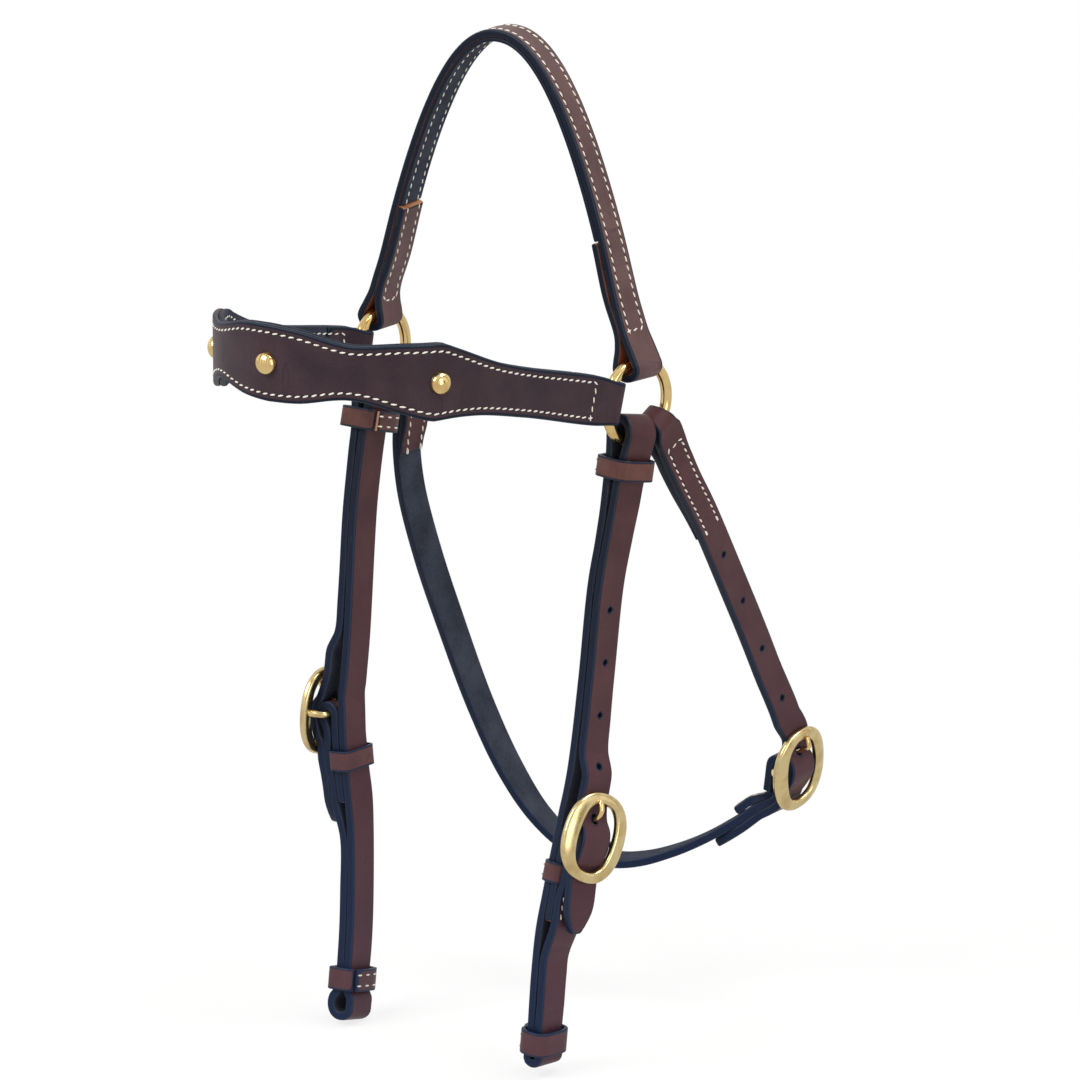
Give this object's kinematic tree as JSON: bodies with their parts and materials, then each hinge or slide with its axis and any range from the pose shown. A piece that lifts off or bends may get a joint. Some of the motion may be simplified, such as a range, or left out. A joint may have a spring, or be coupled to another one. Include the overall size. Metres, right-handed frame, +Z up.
{
  "type": "bridle headstall",
  "caption": "Leather bridle without bit or reins: headpiece, shaped studded browband, buckled cheeks with looped ends and a buckled throatlash, joined by two brass rings",
  "frame": {"origin": "under the headpiece's lining at its highest point, where the bridle rests on the poll", "axes": "+Z up, -Y towards the horse's face where the browband is, +X towards the bridle's right in a view from the front"},
  "size_m": [0.2001, 0.3668, 0.5528],
  "materials": {
    "brown_leather": "satin",
    "dark_brown_leather": "satin",
    "red_brown_leather": "satin",
    "black_lining_leather": "matte",
    "polished_brass": "polished"
  },
  "bodies": {
    "headpiece": {"crown_strap": "brown_leather", "crown_lining": "black_lining_leather"},
    "ring_right": {"ring_right": "polished_brass"},
    "ring_left": {"ring_left": "polished_brass"},
    "browband": {"browband_strap": "dark_brown_leather", "browband_lining": "black_lining_leather", "stud_right": "polished_brass", "stud_centre": "polished_brass", "stud_left": "polished_brass"},
    "throatlash": {"throatlash_strap": "brown_leather", "throatlash_billet": "brown_leather", "throatlash_buckle": "polished_brass"},
    "throatlash_prong": {"throatlash_prong": "polished_brass"},
    "cheek_right": {"cheek_strap_right": "brown_leather", "cheek_buckle_right": "polished_brass", "keeper_middle_right": "red_brown_leather"},
    "cheek_left": {"cheek_strap_left": "brown_leather", "cheek_buckle_left": "polished_brass", "keeper_middle_left": "red_brown_leather"},
    "cheek_prong_right": {"cheek_prong_right": "polished_brass"},
    "cheek_prong_left": {"cheek_prong_left": "polished_brass"},
    "keeper_top_right": {"keeper_top_right": "red_brown_leather"},
    "keeper_top_left": {"keeper_top_left": "red_brown_leather"},
    "keeper_bottom_right": {"keeper_bottom_right": "red_brown_leather"},
    "keeper_bottom_left": {"keeper_bottom_left": "red_brown_leather"}
  },
  "joints": [
    {"name": "ring_right_turn", "type": "hinge", "parent": "headpiece", "child": "ring_right", "pos_m": [0.0895, 0, -0.1823], "axis": [0.9945, -0.1045, 0], "range_deg": [-8, 2]},
    {"name": "ring_left_turn", "type": "hinge", "parent": "headpiece", "child": "ring_left", "pos_m": [-0.0895, 0, -0.1823], "axis": [0.9976, 0.0698, 0], "range_deg": [-5, 1]},
    {"name": "cheek_right_flare", "type": "hinge", "parent": "ring_right", "child": "cheek_right", "pos_m": [0.0895, 0, -0.2043], "axis": [-0.1045, -0.9945, 0], "range_deg": [-6, 15]},
    {"name": "cheek_left_flare", "type": "hinge", "parent": "ring_left", "child": "cheek_left", "pos_m": [-0.0895, 0, -0.2043], "axis": [-0.0698, 0.9976, 0], "range_deg": [-6, 15]},
    {"name": "browband_swing", "type": "hinge", "parent": "headpiece", "child": "browband", "pos_m": [0, 0, -0.1823], "axis": [1, 0, 0], "range_deg": [-2, 2]},
    {"name": "throatlash_swing", "type": "hinge", "parent": "headpiece", "child": "throatlash", "pos_m": [0, 0, -0.1823], "axis": [1, 0, 0], "range_deg": [0, 15]},
    {"name": "throatlash_prong_tilt", "type": "hinge", "parent": "throatlash", "child": "throatlash_prong", "pos_m": [0.0787, 0.1442, -0.41965], "axis": [-0.081, 0.9945, 0.067], "range_deg": [0, 6]},
    {"name": "cheek_prong_right_tilt", "type": "hinge", "parent": "cheek_right", "child": "cheek_prong_right", "pos_m": [0.08338, -0.0373, -0.41275], "axis": [0.2006, 0.9496, -0.2408], "range_deg": [0, 6]},
    {"name": "cheek_prong_left_tilt", "type": "hinge", "parent": "cheek_left", "child": "cheek_prong_left", "pos_m": [-0.08577, -0.03763, -0.37778], "axis": [-0.1068, -0.9915, 0.074], "range_deg": [0, 6]},
    {"name": "keeper_top_right_slide", "type": "slide", "parent": "cheek_right", "child": "keeper_top_right", "axis": [-0.038, -0.195, -0.9801], "range_m": [0, 0.015]},
    {"name": "keeper_top_left_slide", "type": "slide", "parent": "cheek_left", "child": "keeper_top_left", "axis": [0.026, -0.245, -0.9692], "range_m": [0, 0.012]},
    {"name": "keeper_bottom_right_slide", "type": "slide", "parent": "cheek_right", "child": "keeper_bottom_right", "axis": [0.0733, 0.065, 0.9952], "range_m": [0, 0.01]},
    {"name": "keeper_bottom_left_slide", "type": "slide", "parent": "cheek_left", "child": "keeper_bottom_left", "axis": [-0.0668, 0.185, 0.9805], "range_m": [0, 0.015]}
  ]
}
